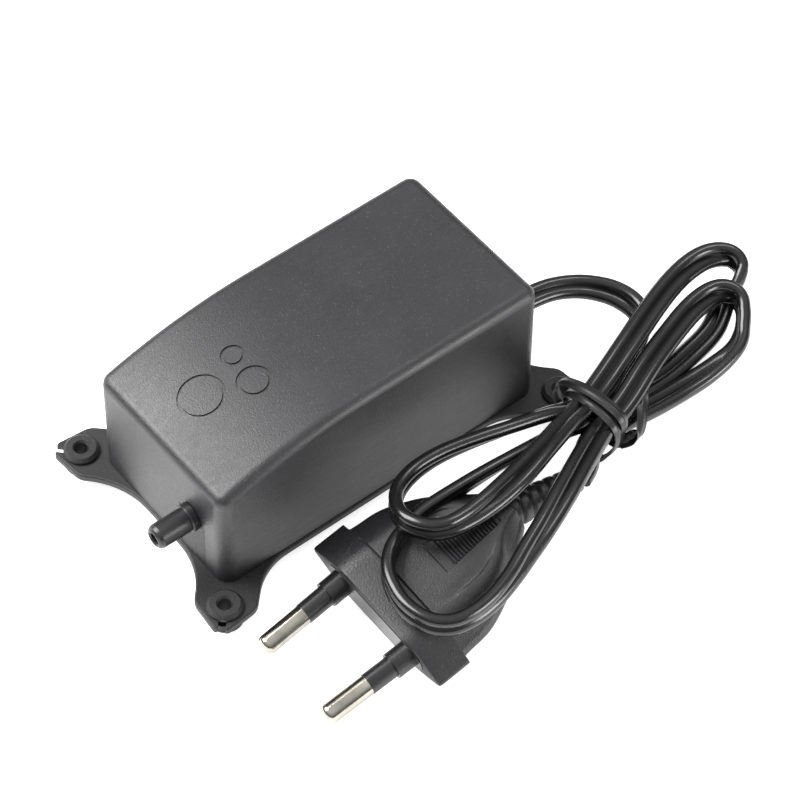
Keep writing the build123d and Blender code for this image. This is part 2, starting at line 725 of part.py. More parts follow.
save("intake_flap", block(chamber_floor - 0.5, chamber_floor, -16.4, -12.2, head_z - 1.8, head_z + 1.8))
save("intake_filter", block(6.5, 13.0, -17.0, -11.0, base_top, head_z - head_half_z))

save("swing_arm", make_arm())
save("arm_bush", make_bush())
save("arm_pin", rod(pin_radius, (0, pivot_y, 5.0), (0, 0, 1), 19.0))
magnet = block(-magnet_half_width, magnet_half_width, tee_y1, magnet_y1, 10.4, 21.6)
save("arm_magnet", magnet)
save("core_laminations", make_core())
bobbin, winding, tape = make_coil()
save("coil_bobbin", bobbin)
save("coil_winding", winding)
save("coil_tape", tape)
core_screws = []
for side in (-1, 1):
    place = (side * core_screw_x, core_screw_y)
    screw = rod(1.0, (*place, 5.0), (0, 0, 1), core_z1 - 5.0) + rod(1.9, (*place, core_z1), (0, 0, 1), 1.4)
    core_screws.append(screw)
save("core_screws", Compound(core_screws))
lead_left, lead_right = make_leads()
save("lead_wire_left", lead_left)
save("lead_wire_right", lead_right)

inner_length = cord_route[0][1] - cord_inner_end
inner_cord = rod(cord_radius, (gland_x, cord_inner_end, gland_z), (0, 1, 0), inner_length)
save("power_cord", inner_cord + tube(cord_route, cord_radius, "power_cord"))
save("cord_tail", tube(tail_route, cord_radius, "cord_tail"))
save("cord_hank", make_hank())
save("cord_tie", make_tie())
plug_body = make_plug()
pin_left, sleeve_left = plug_pin(-1)
pin_right, sleeve_right = plug_pin(1)
bridge_plane = Plane(origin=(0, 6.0, 0), x_dir=(1, 0, 0), z_dir=(0, -1, 0))
bridge = plug_frame * extrude(bridge_plane * RectangleRounded(26.4, 6.4, 3.1), 6.15)
for cut in (pin_left, pin_right, sleeve_left, sleeve_right):
    bridge = bridge - cut
for cut in (bridge, pin_left, pin_right, sleeve_left, sleeve_right):
    plug_body = plug_body - cut
save("plug_body", plug_body)
save("plug_bridge", bridge)
save("plug_pin_left", pin_left)
save("plug_pin_right", pin_right)
save("plug_sleeve_left", sleeve_left)
save("plug_sleeve_right", sleeve_right)
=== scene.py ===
import math

import bpy
import numpy as np
from mathutils import Matrix, Vector


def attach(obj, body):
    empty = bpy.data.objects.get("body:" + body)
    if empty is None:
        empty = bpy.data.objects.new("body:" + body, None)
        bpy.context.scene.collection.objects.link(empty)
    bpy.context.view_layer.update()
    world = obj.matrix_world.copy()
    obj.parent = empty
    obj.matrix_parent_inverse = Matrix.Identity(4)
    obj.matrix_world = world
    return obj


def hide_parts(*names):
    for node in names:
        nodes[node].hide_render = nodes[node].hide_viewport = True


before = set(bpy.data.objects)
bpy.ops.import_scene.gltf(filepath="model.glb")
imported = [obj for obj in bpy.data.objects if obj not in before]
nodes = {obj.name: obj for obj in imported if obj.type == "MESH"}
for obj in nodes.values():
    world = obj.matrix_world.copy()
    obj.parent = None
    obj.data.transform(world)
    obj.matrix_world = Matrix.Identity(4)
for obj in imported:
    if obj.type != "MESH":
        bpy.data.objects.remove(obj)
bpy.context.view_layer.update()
mm = 0.001


# small tools for meshes and nodes

def gridObject(name, grid, along=None, sharpDegrees=35.0):
    # A closed skin over grid[row, column]: columns run round a ring, rows run from ring to ring.
    # Each four neighbours make a quad, the last column joins the first, and one face closes each end
    # ring. The signed volume, a sum of triple products, says whether the faces have to be turned round.
    # With along, a length for each row, the skin gets a UV map of length along and length round.
    rows, columns = grid.shape[:2]
    row, column = np.meshgrid(np.arange(rows - 1), np.arange(columns), indexing="ij")
    cornerRow = np.stack([row, row, row + 1, row + 1], axis=-1).reshape(-1, 4)
    cornerColumn = np.stack([column, column + 1, column + 1, column], axis=-1).reshape(-1, 4)
    quads = cornerRow * columns + cornerColumn % columns
    flat = grid.reshape(-1, 3)
    a, b, c, d = (flat[quads[:, k]] for k in range(4))
    volume = (a * np.cross(b, c)).sum() + (a * np.cross(c, d)).sum()
    order = slice(None) if volume > 0 else slice(None, None, -1)
    first = np.arange(columns)[::-1][order]
    last = (np.arange(columns) + (rows - 1) * columns)[order]
    mesh = bpy.data.meshes.new(name)
    faces = quads[:, order].tolist() + [first.tolist(), last.tolist()]
    mesh.from_pydata(flat.tolist(), [], faces)
    if along is not None:
        steps = np.linalg.norm(np.diff(grid[0], axis=0, append=grid[0][:1]), axis=1)
        around = np.concatenate([[0.0], np.cumsum(steps)])
        rowOf = np.concatenate([cornerRow[:, order].ravel(), first // columns, last // columns])
        columnOf = np.concatenate([cornerColumn[:, order].ravel(), first % columns, last % columns])
        places = np.stack([along[rowOf], around[columnOf]], axis=-1)
        layer = mesh.uv_layers.new(name="surface")
        layer.data.foreach_set("uv", places.astype(np.float32).ravel())
    mesh.shade_smooth()  # edges sharper than sharpDegrees stay crisp
    mesh.set_sharp_from_angle(angle=math.radians(sharpDegrees))
    piece = bpy.data.objects.new(name, mesh)
    bpy.context.scene.collection.objects.link(piece)
    return piece


def joinedObject(name, parts):
    # One piece from several closed skins.
    with bpy.context.temp_override(active_object=parts[0], selected_editable_objects=parts):
        bpy.ops.object.join()
    parts[0].name = name
    return parts[0]


def linear(hexColour):
    # sRGB hex to linear: ((c + 0.055) / 1.055) ** 2.4 for each channel, or c / 12.92 where it is dark.
    channels = np.array([int(hexColour[k:k + 2], 16) for k in (1, 3, 5)]) / 255
    bent = np.where(channels <= 0.04045, channels / 12.92, ((channels + 0.055) / 1.055) ** 2.4)
    return (*bent.tolist(), 1.0)


def addNode(tree, kind, values=None, links=None, **settings):
    # One node, with its socket values, what is linked into it, and its own settings.
    node = tree.nodes.new(kind)
    for key, value in settings.items():
        setattr(node, key, value)
    for key, value in (values or {}).items():
        node.inputs[key].default_value = value
    for key, source in (links or {}).items():
        tree.links.new(source, node.inputs[key])
    return node


# camera

view = {
    "azimuth": 50.13,  # degrees round from looking along +Y
    "elevation": 52.19,
    "roll": 1.35,
    "distance": 0.589,
    "target": (0.0, -0.001, 0.015),
    "shiftRight": 0.0154,  # the aim lies this far from the target, along the picture's right and up
    "shiftUp": -0.00234,
    "lens": 140.97,
}


def makeCamera():
    # Back points from the target to the eye, and right and up are turned about it by the roll.
    azimuth, elevation, roll = (math.radians(view[key]) for key in ("azimuth", "elevation", "roll"))
    flat = math.cos(elevation)
    back = Vector((math.sin(azimuth) * flat, -math.cos(azimuth) * flat, math.sin(elevation)))
    level = Vector((math.cos(azimuth), math.sin(azimuth), 0))
    right = level * math.cos(roll) + back.cross(level) * math.sin(roll)
    up = back.cross(right)
    camera = bpy.data.objects.new("camera", bpy.data.cameras.new("camera"))
    bpy.context.scene.collection.objects.link(camera)
    aim = Vector(view["target"]) + right * view["shiftRight"] + up * view["shiftUp"]
    turn = Matrix((right, up, back)).transposed()
    camera.matrix_world = Matrix.Translation(aim + back * view["distance"]) @ turn.to_4x4()
    camera.data.sensor_width = 36
    camera.data.lens = view["lens"]
    bpy.context.scene.camera = camera


makeCamera()
print("camera placed")


# finishes: one function for each kind of surface, and one row of settings for each real material

def newSurface(name):
    # A material's tree with only its output and its shader, and the object's own coordinates.
    material = bpy.data.materials.new(name)
    material.use_nodes = True
    tree = material.node_tree
    tree.nodes.clear()
    shader = addNode(tree, "ShaderNodeBsdfPrincipled")
    addNode(tree, "ShaderNodeOutputMaterial", links={"Surface": shader.outputs["BSDF"]})
    place = addNode(tree, "ShaderNodeTexCoord").outputs["Object"]
    return material, tree, shader, place


def noiseAt(tree, place, sizeMm, detail=2.0, roughness=0.5):
    # Noise whose blobs are about this many millimetres across.
    values = {"Scale": 1 / (sizeMm * mm), "Detail": detail, "Roughness": roughness}
    return addNode(tree, "ShaderNodeTexNoise", values, {"Vector": place}).outputs["Fac"]


def spread(tree, source, low, high, fromLow=0.3, fromHigh=0.7):
    # The source's range laid onto low to high.
    values = {"From Min": fromLow, "From Max": fromHigh, "To Min": low, "To Max": high}
    return addNode(tree, "ShaderNodeMapRange", values, {"Value": source}).outputs["Result"]


def mixed(tree, factor, first, second):
    # Two hex colours mixed by a factor.
    node = addNode(tree, "ShaderNodeMix", links={"Factor": factor}, data_type="RGBA")
    node.inputs["A"].default_value = linear(first)
    node.inputs["B"].default_value = linear(second)
    return node.outputs["Result"]


def stretched(tree, place, scale):
    # Coordinates times a scale: under 1 draws the pattern out along that axis.
    return addNode(tree, "ShaderNodeMapping", {"Scale": scale}, {"Vector": place}).outputs["Vector"]


def bumped(tree, shader, height, depthMm, strength=1.0):
    # Relief of this depth on the shader, on top of any that it has.
    values = {"Distance": depthMm * mm, "Strength": strength}
    node = addNode(tree, "ShaderNodeBump", values, {"Height": height})
    if shader.inputs["Normal"].is_linked:
        tree.links.new(shader.inputs["Normal"].links[0].from_socket, node.inputs["Normal"])
    tree.links.new(node.outputs["Normal"], shader.inputs["Normal"])


def mouldedSurface(name, look):
    # Moulded plastic or rubber: a spark-eroded grain as relief, a slow flow of shade, and uneven gloss.
    # Handling leaves long faint rubs, which are noise stretched along Y, and a little dust in the grain.
    material, tree, shader, place = newSurface(name)
    flow = noiseAt(tree, place, look["flowMm"], 3.0)
    grain = noiseAt(tree, place, look["grainMm"], 2.0, 0.6)
    rubs = noiseAt(tree, stretched(tree, place, look["rubStretch"]), look["grainMm"] * look["rubSize"], 2.0)
    gloss = addNode(tree, "ShaderNodeMath", links={0: flow, 1: rubs}, operation="ADD").outputs["Value"]
    specks = noiseAt(tree, place, look["grainMm"] * look["dustSize"], 1.0)
    dust = spread(tree, specks, 0.0, 1.0, *look["dustRange"])
    shade = mixed(tree, spread(tree, flow, 0.0, 1.0), look["dark"], look["light"])
    dusty = addNode(tree, "ShaderNodeMix", links={"Factor": dust, "A": shade}, data_type="RGBA")
    dusty.inputs["B"].default_value = linear(look["dust"])
    tree.links.new(dusty.outputs["Result"], shader.inputs["Base Color"])
    tree.links.new(spread(tree, gloss, *look["roughness"], *look["glossRange"]), shader.inputs["Roughness"])
    shader.inputs["IOR"].default_value = look["ior"]
    bumped(tree, shader, grain, look["grainDepthMm"])
    return material


def extrudedSurface(name, look):
    # PVC drawn through a die: fine lines run along it, from the piece's own length-and-round map.
    material, tree, shader, place = newSurface(name)
    strip = addNode(tree, "ShaderNodeUVMap", uv_map="surface").outputs["UV"]
    lines = noiseAt(tree, stretched(tree, strip, (0.02, 1.0, 1.0)), look["lineMm"], 2.0)
    flow = noiseAt(tree, place, look["flowMm"], 3.0)
    shade = mixed(tree, spread(tree, flow, 0.0, 1.0), look["dark"], look["light"])
    tree.links.new(shade, shader.inputs["Base Color"])
    tree.links.new(spread(tree, flow, *look["roughness"]), shader.inputs["Roughness"])
    shader.inputs["IOR"].default_value = look["ior"]
    bumped(tree, shader, lines, look["lineDepthMm"])
    bumped(tree, shader, noiseAt(tree, place, look["grainMm"], 2.0), look["grainDepthMm"])
    return material


def metalSurface(name, look):
    # Metal with fine marks of how it was finished: noise stretched along one axis, and slow tarnish.
    material, tree, shader, place = newSurface(name)
    marks = noiseAt(tree, stretched(tree, place, look["stretch"]), look["markMm"], 3.0)
    tarnish = noiseAt(tree, place, look["tarnishMm"], 3.0)
    shade = mixed(tree, spread(tree, tarnish, 0.0, 1.0), look["dark"], look["light"])
    tree.links.new(shade, shader.inputs["Base Color"])
    tree.links.new(spread(tree, marks, *look["roughness"]), shader.inputs["Roughness"])
    shader.inputs["Metallic"].default_value = 1.0
    bumped(tree, shader, marks, look["markDepthMm"])
    return material


def layeredSurface(name, look):
    # Thin sheets or turns side by side: bands at the pitch along one axis, as shade and relief. A wave
    # texture turns 20 times its scale in radians for each metre, so its scale is pi / 10 over the pitch.
    material, tree, shader, place = newSurface(name)
    values = {"Scale": math.pi / 10 / (look["pitchMm"] * mm), "Distortion": look["wander"]}
    bands = addNode(tree, "ShaderNodeTexWave", values, {"Vector": place}, bands_direction=look["axis"])
    shade = mixed(tree, bands.outputs["Fac"], look["dark"], look["light"])
    tree.links.new(shade, shader.inputs["Base Color"])
    tree.links.new(spread(tree, noiseAt(tree, place, 2.0), *look["roughness"]), shader.inputs["Roughness"])
    shader.inputs["Metallic"].default_value = look["metallic"]
    bumped(tree, shader, bands.outputs["Fac"], look["pitchMm"] * look["depthShare"])
    return material


plastic = {
    "flowMm": 14.0,
    "grainMm": 0.3,  # drawn a little coarser than the real grain, so that it shows
    "grainDepthMm": 0.06,
    "ior": 1.5,
    "dust": "#3a3a3c",
    "dustSize": 1.3,  # dust specks and rubs, in grains across
    "dustRange": (0.66, 0.78),  # the part of the noise that becomes dust
    "rubSize": 2.2,
    "rubStretch": (1.0, 0.12, 1.0),
    "glossRange": (0.7, 1.3),
}
moulded = {
    # ABS, injected into a spark-eroded tool: black with a fine even grain that greys under a soft light
    "sparkGrainAbs": plastic | {
        "dark": "#151517", "light": "#1c1c1f", "roughness": (0.38, 0.48), "ior": 1.54,
    },
    # the base is the same ABS from a coarser tool, so it is duller
    "coarseGrainAbs": plastic | {"dark": "#0f0f10", "light": "#151516", "roughness": (0.46, 0.6)},
    # EPDM, compression moulded: matte, nearly no shine, and it holds dust
    "mouldedEpdm": plastic | {
        "dark": "#0e0e0f", "light": "#141415", "roughness": (0.5, 0.66), "dust": "#38383a",
    },
    # PVC, overmoulded on the pins in a fine sand-blasted tool
    "overmouldedPvc": plastic | {
        "dark": "#161618", "light": "#1e1e20", "roughness": (0.36, 0.48), "grainDepthMm": 0.08,
    },
    # polished PVC insert and sleeves: smoother than the plug body round them
    "glossyPvc": plastic | {
        "dark": "#101011", "light": "#161617", "roughness": (0.26, 0.36), "grainDepthMm": 0.006,
    },
    # polyamide nozzle: a plain machined tool, so a soft sheen with hardly any grain
    "mouldedPolyamide": plastic | {
        "dark": "#111113", "light": "#19191b", "roughness": (0.3, 0.42), "grainDepthMm": 0.012,
    },
    # nitrile rubber of the diaphragm and the valve flaps: smooth and matte
    "mouldedNitrile": plastic | {
        "dark": "#191918", "light": "#222220", "roughness": (0.5, 0.62), "grainDepthMm": 0.01,
    },
    # acetal arm and pump head: off-white, waxy
    "mouldedAcetal": plastic | {
        "dark": "#d6d3c8", "light": "#e6e3d9", "roughness": (0.34, 0.44), "dust": "#b9b6aa",
    },
    # glass-filled PBT bobbin: warm white, slightly rough from the fibres
    "mouldedPbt": plastic | {
        "dark": "#c9c3ae", "light": "#d9d4c2", "roughness": (0.45, 0.56), "dust": "#a29c88",
    },
    # silicone hose: milky and soft
    "extrudedSilicone": plastic | {
        "dark": "#bfc0bb", "light": "#d4d5d0", "roughness": (0.3, 0.4), "dust": "#a5a6a1",
    },
    # sintered ferrite magnet: dark grey, dry, gritty
    "sinteredFerrite": plastic | {
        "dark": "#2b2b2e", "light": "#3a3a3d", "roughness": (0.5, 0.65), "grainMm": 0.2,
    },
    # PVC-insulated lead wires, brown
    "brownPvc": plastic | {
        "dark": "#3f2517", "light": "#54331f", "roughness": (0.34, 0.44), "dust": "#6a4a35",
    },
    # PVC-insulated lead wires, blue
    "bluePvc": plastic | {
        "dark": "#16305c", "light": "#1f3f75", "roughness": (0.34, 0.44), "dust": "#3b5c94",
    },
    # polyester tape over the winding: yellow film with a little sheen
    "polyesterTape": plastic | {
        "dark": "#c79a2a", "light": "#dcb046", "roughness": (0.22, 0.34), "dust": "#b28a2c",
    },
    # pressed wool felt of the intake filter: white, fibrous, no shine
    "pressedFelt": plastic | {
        "dark": "#c9c8c2", "light": "#e3e2dc", "roughness": (0.85, 0.95), "grainDepthMm": 0.15,
    },
}
metals = {
    # nickel on brass, turned and then barrel-polished: warm silver, faint marks along the pin
    "polishedNickel": {
        "dark": "#8f8b82", "light": "#b4b0a6", "roughness": (0.1, 0.2), "markMm": 0.35, "markDepthMm": 0.004,
        "tarnishMm": 5.0, "stretch": (1.0, 0.06, 1.0),
    },
    # zinc on steel screws: cooler and duller
    "zincPlatedSteel": {
        "dark": "#9a9c9f", "light": "#b9bbbd", "roughness": (0.28, 0.42), "markMm": 0.3, "markDepthMm": 0.005,
        "tarnishMm": 2.0, "stretch": (1.0, 1.0, 1.0),
    },
    # ground steel pin and bronze bush of the arm
    "groundSteel": {
        "dark": "#8b8d90", "light": "#a9abae", "roughness": (0.16, 0.26), "markMm": 0.2, "markDepthMm": 0.003,
        "tarnishMm": 3.0, "stretch": (1.0, 1.0, 0.08),
    },
    "sinteredBronze": {
        "dark": "#8a6133", "light": "#a87b45", "roughness": (0.36, 0.5), "markMm": 0.25, "markDepthMm": 0.01,
        "tarnishMm": 1.5, "stretch": (1.0, 1.0, 1.0),
    },
}
layered = {
    # silicon steel sheets 0.5 mm thick, punched and stacked: bands with dark seams
    "stackedSiliconSteel": {
        "dark": "#4b4d52", "light": "#8d9096", "roughness": (0.34, 0.5), "pitchMm": 0.5, "wander": 0.1,
        "axis": "Z", "metallic": 1.0, "depthShare": 0.2,
    },
    # enamelled copper wire 0.15 mm thick, drawn as coarse as 0.3 mm so that its turns show
    "enamelledCopper": {
        "dark": "#5a2410", "light": "#b0592a", "roughness": (0.22, 0.34), "pitchMm": 0.3, "wander": 0.4,
        "axis": "X", "metallic": 1.0, "depthShare": 0.2,
    },
}
extruded = {
    # PVC sheath of the flat twin cord: black, satin, with die lines along each core
    "extrudedPvc": {
        "dark": "#0a0a0b", "light": "#0f0f10", "roughness": (0.19, 0.28), "ior": 1.5, "flowMm": 9.0,
        "lineMm": 0.35, "lineDepthMm": 0.012, "grainMm": 0.5, "grainDepthMm": 0.006,
    },
    # PVC ribbon over the steel wire of the twist tie: black and shinier than the cord
    "ribbonPvc": {
        "dark": "#0a0a0b", "light": "#101011", "roughness": (0.3, 0.4), "ior": 1.5, "flowMm": 4.0,
        "lineMm": 0.3, "lineDepthMm": 0.01, "grainMm": 0.6, "grainDepthMm": 0.01,
    },
}
finishes = {name: mouldedSurface(name, look) for name, look in moulded.items()}
finishes |= {name: metalSurface(name, look) for name, look in metals.items()}
finishes |= {name: layeredSurface(name, look) for name, look in layered.items()}
finishes |= {name: extrudedSurface(name, look) for name, look in extruded.items()}
print("finishes made:", len(finishes))

# which finish each carried-over CAD node wears
wears = {
    "sparkGrainAbs": ["top_cover"],
    "coarseGrainAbs": ["base_plate", "cord_clamp"],
    "mouldedEpdm": ["foot_front_left", "foot_front_right", "foot_rear_left", "foot_rear_right", "cord_gland"],
    "mouldedPolyamide": ["outlet_nozzle"],
    "glossyPvc": ["plug_bridge", "plug_sleeve_left", "plug_sleeve_right"],
    "mouldedNitrile": ["diaphragm", "head_gasket", "outlet_flap", "intake_flap"],
    "mouldedAcetal": ["swing_arm", "head_body", "head_cap", "diaphragm_clamp", "diaphragm_washer"],
    "mouldedPbt": ["coil_bobbin"],
    "extrudedSilicone": ["outlet_hose"],
    "sinteredFerrite": ["arm_magnet"],
    "brownPvc": ["lead_wire_left"],
    "bluePvc": ["lead_wire_right"],
    "polyesterTape": ["coil_tape"],
    "pressedFelt": ["intake_filter"],
    "polishedNickel": ["plug_pin_left", "plug_pin_right"],
    "zincPlatedSteel": ["cover_screws", "core_screws", "head_screws", "diaphragm_screw", "cord_clamp_screw"],
    "groundSteel": ["arm_pin"],
    "sinteredBronze": ["arm_bush"],
    "stackedSiliconSteel": ["core_laminations"],
    "enamelledCopper": ["coil_winding"],
}


def dress(piece, finish):
    # One finish over the whole piece, in place of any material that it has.
    piece.data.materials.clear()
    piece.data.materials.append(finishes[finish])
    return piece


for finish, members in wears.items():
    for member in members:
        dress(nodes[member], finish)
undressed = set(nodes) - {member for members in wears.values() for member in members}
print("CAD nodes without a finish of their own:", sorted(undressed))


# the flat twin mains cord, from the gland through the tied hank to the plug

cordFacts = {
    "halfWidth": 2.6 * mm,
    "coreRadius": 1.3 * mm,
    "webHalf": 0.55 * mm,  # half the thickness of the web between the two cores
    "columns": 40,
    "smoothness": 12,  # points that the spline gives for each run of the route
    "exit": (0.0052, 0.0450, 0.011),
}

# x, y, z, and the lean of the cord's wide side in degrees: 0 lies flat, 90 stands on edge
cordStart = [
    (0.0052, 0.0449, 0.0110, 0),
    (0.0054, 0.0495, 0.0106, 0),
    (0.0066, 0.0543, 0.0099, 5),
    (0.0092, 0.0590, 0.0090, 15),
    (0.0136, 0.0629, 0.0080, 35),
    (0.0192, 0.0640, 0.0071, 60),
    (0.0236, 0.0606, 0.0065, 75),
    (0.0260, 0.0550, 0.0062, 60),
]
upperLoop = [
    (0.0284, 0.0495, 0.0068, 30),
    (0.0302, 0.0450, 0.0078, 5),
    (0.0310, 0.0410, 0.0083, 5),
    (0.0310, 0.0362, 0.0100, 20),
    (0.0306, 0.0300, 0.0135, 45),
    (0.0296, 0.0218, 0.0150, 55),
    (0.0279, 0.0128, 0.0160, 65),
    (0.0269, 0.0051, 0.0165, 75),
    (0.0273, -0.0011, 0.0166, 85),
    (0.0294, -0.0061, 0.0170, 90),
    (0.0333, -0.0089, 0.0180, 90),
    (0.0370, -0.0094, 0.0190, 90),
    (0.0407, -0.0076, 0.0194, 90),
    (0.0425, -0.0044, 0.0192, 85),
    (0.0428, 0.0004, 0.0188, 70),
    (0.0422, 0.0068, 0.0185, 45),
    (0.0408, 0.0138, 0.0180, 10),
    (0.0382, 0.0222, 0.0170, -15),
    (0.0345, 0.0315, 0.0140, -20),
    (0.0318, 0.0390, 0.0114, -5),
]
outerReturn = [
    (0.0296, 0.0450, 0.0112, 0),
    (0.0262, 0.0537, 0.0115, 0),
    (0.0210, 0.0661, 0.0105, 0),
    (0.0181, 0.0745, 0.0095, 10),
    (0.0172, 0.0813, 0.0088, 35),
    (0.0182, 0.0856, 0.0080, 60),
    (0.0202, 0.0878, 0.0070, 80),
    (0.0227, 0.0878, 0.0055, 90),
    (0.0241, 0.0852, 0.0042, 75),
    (0.0246, 0.0815, 0.0033, 45),
    (0.0266, 0.0785, 0.0028, 20),
    (0.0290, 0.0741, 0.0022, 10),
    (0.0304, 0.0667, 0.0022, 5),
    (0.0318, 0.0591, 0.0030, 5),
    (0.0322, 0.0510, 0.0045, 5),
]
lowerLoop = [
    (0.0316, 0.0450, 0.0054, 0),
    (0.0313, 0.0410, 0.0056, 0),
    (0.0325, 0.0360, 0.0070, 20),
    (0.0338, 0.0300, 0.0104, 45),
    (0.0343, 0.0235, 0.0128, 55),
    (0.0343, 0.0162, 0.0140, 60),
    (0.0344, 0.0084, 0.0147, 70),
    (0.0346, 0.0009, 0.0150, 80),
    (0.0347, -0.0042, 0.0150, 85),
    (0.0357, -0.0087, 0.0148, 90),
    (0.0374, -0.0134, 0.0150, 90),
    (0.0404, -0.0168, 0.0151, 90),
    (0.0439, -0.0186, 0.0151, 90),
    (0.0486, -0.0195, 0.0150, 90),
    (0.0532, -0.0187, 0.0150, 90),
    (0.0562, -0.0166, 0.0150, 90),
    (0.0578, -0.0131, 0.0150, 90),
    (0.0577, -0.0067, 0.0150, 85),
    (0.0559, -0.0002, 0.0155, 75),
    (0.0537, 0.0053, 0.0160, 60),
    (0.0514, 0.0114, 0.0165, 45),
    (0.0468, 0.0210, 0.0160, 20),
    (0.0411, 0.0314, 0.0130, 5),
    (0.0371, 0.0390, 0.0102, 0),
]
innerReturn = [
    (0.0360, 0.0442, 0.0100, 0),
    (0.0319, 0.0537, 0.0105, 0),
    (0.0284, 0.0628, 0.0095, 0),
    (0.0257, 0.0706, 0.0088, 10),
    (0.0247, 0.0768, 0.0080, 35),
    (0.0254, 0.0801, 0.0074, 60),
    (0.0276, 0.0819, 0.0065, 80),
    (0.0302, 0.0813, 0.0052, 90),
    (0.0328, 0.0788, 0.0040, 80),
    (0.0352, 0.0753, 0.0032, 50),
    (0.0360, 0.0700, 0.0028, 25),
    (0.0362, 0.0647, 0.0026, 10),
    (0.0363, 0.0582, 0.0032, 5),
    (0.0366, 0.0510, 0.0045, 5),
    (0.0366, 0.0442, 0.0064, 0),
]
cordEnd = [
    (0.0366, 0.0384, 0.0072, 0),
    (0.0377, 0.0345, 0.0081, 10),
    (0.0402, 0.0314, 0.0092, 20),
    (0.0429, 0.0288, 0.0101, 10),
    (0.0440, 0.0260, 0.0105, 0),
]
cordRoute = np.array(cordStart + upperLoop + outerReturn + lowerLoop + innerReturn + cordEnd)


def splinePoints(name, points, smoothness):
    # Points read from a NURBS spline of order 3 that has these control points.
    curve = bpy.data.curves.new(name, "CURVE")
    curve.dimensions = "3D"
    curve.resolution_u = smoothness
    spline = curve.splines.new("NURBS")
    spline.points.add(len(points) - 1)
    spline.points.foreach_set("co", np.column_stack([points, np.ones(len(points))]).ravel())
    spline.order_u = 3
    spline.use_endpoint_u = True
    holder = bpy.data.objects.new(name, curve)
    bpy.context.scene.collection.objects.link(holder)
    bpy.context.view_layer.update()
    line = bpy.data.meshes.new_from_object(holder)
    found = np.zeros(len(line.vertices) * 3)
    line.vertices.foreach_get("co", found)
    bpy.data.objects.remove(holder)
    bpy.data.curves.remove(curve)
    bpy.data.meshes.remove(line)
    found = found.reshape(-1, 3)
    apart = np.linalg.norm(np.diff(found, axis=0), axis=1) > 1e-6  # the spline's end points come twice
    return found[np.concatenate([[True], apart])]


def alongSpline(values, count):
    # A value of each control point, carried along the spline: point k of n acts at run k - 1/2.
    places = np.clip(np.arange(len(values)) - 0.5, 0, len(values) - 2)
    return np.interp(np.linspace(0, len(values) - 2, count), places, values)


def lengths(line):
    # How far along the line each of its points lies.
    return np.concatenate([[0.0], np.cumsum(np.linalg.norm(np.diff(line, axis=0), axis=1))])


def unit(vectors):
    # Each vector over its own length.
    return vectors / np.linalg.norm(vectors, axis=-1, keepdims=True)


def ribbonGrid(line, leans, section):
    # A section carried along a line: across is level and square to the line, and is turned by the lean.
    ahead = unit(np.gradient(line, axis=0))
    level = unit(np.cross([0.0, 0.0, 1.0], ahead))
    upright = np.cross(ahead, level)
    lean = np.radians(leans)[:, None]
    across = level * np.cos(lean) + upright * np.sin(lean)
    through = np.cross(ahead, across)
    return line[:, None] + across[:, None] * section[None, :, :1] + through[:, None] * section[None, :, 1:]


def twinSection():
    # Half height h over the width x: each core's circle sqrt(r^2 - (|x| - r)^2), blended with the web.
    turn = np.linspace(0, 2 * math.pi, cordFacts["columns"], endpoint=False)
    x = cordFacts["halfWidth"] * np.cos(turn)
    radius = cordFacts["coreRadius"]
    circle = np.sqrt(np.clip(radius ** 2 - (np.abs(x) - radius) ** 2, 0, None))
    web = cordFacts["webHalf"] * (1 - (x / cordFacts["halfWidth"]) ** 4)
    height = (circle ** 3 + web ** 3) ** (1 / 3)
    return np.stack([x, height * np.sign(np.sin(turn) + 1e-12)], axis=-1)


def makeCord():
    # The twin section carried along the whole route, leaning as the route says.
    line = splinePoints("cordLine", cordRoute[:, :3], cordFacts["smoothness"])
    leans = alongSpline(cordRoute[:, 3], len(line))
    grid = ribbonGrid(line, leans, twinSection())
    return gridObject("flat_cord", grid, along=lengths(line)), line


flatCord, cordLine = makeCord()
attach(flatCord, "housing")
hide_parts("power_cord", "cord_hank", "cord_tail")
dress(flatCord, "extrudedPvc")


# the plug's body with its grip, and the strain relief that grows out of it

plugFacts = {
    "faceCentre": (0.0429, -0.02125, 0.0066),
    "turns": (("Z", 0.6), ("X", 10.0), ("Y", 7.0)),  # degrees, as the plug lies
    # the rest is in millimetres, by the distance back from the face; the flange ends at 7.15
    "halfWidths": {
        0.0: 17.35, 0.15: 17.75, 0.6: 17.9, 7.15: 17.9, 7.2: 16.4,
        13.0: 15.8, 20.0: 13.2, 26.0: 9.2, 30.5: 5.6, 32.0: 4.4, 32.6: 3.2,
    },
    "halfHeights": {
        0.0: 4.6, 0.15: 4.9, 0.6: 5.0, 14.0: 5.0, 20.0: 4.85, 26.0: 4.5, 30.5: 4.0, 32.0: 3.6, 32.6: 2.6,
    },
    "flatHalves": {
        0.0: 9.2, 0.6: 9.6, 13.0: 9.7, 17.8: 9.5, 21.5: 8.5, 24.5: 6.6, 26.0: 4.9, 28.0: 3.2, 32.6: 1.6,
    },
    "edgeHalf": {0.0: 0.6, 7.15: 0.7, 7.2: 1.4, 13.0: 1.6, 26.0: 1.9, 32.6: 1.8},
    "ridgeRound": 1.7,
    "ridgeShare": 0.25,  # and no more than this share of the flat top's half width
    "edgeTurn": 70,  # degrees of arc on the blunt side edge
    "points": {"edge": 6, "slope": 8, "ridge": 9, "top": 15},
    "seam": {"at": 7.0, "width": 0.14, "depth": 0.32, "reach": 11.5},
    "strip": {"from": 14.3, "to": 28.4, "half": 3.5, "endHalf": 2.2, "sunk": 0.22, "gap": 0.06, "ramp": 0.1},
    "ribs": {"from": 16.3, "to": 27.4, "pitch": 0.72, "height": 0.5},
    "dish": {
        "from": 9.0, "to": 25.5, "inside": 2.1, "width": 1.6, "depth": 0.26,
        "startRun": 6, "endRun": 5, "margin": 0.9,
    },
}
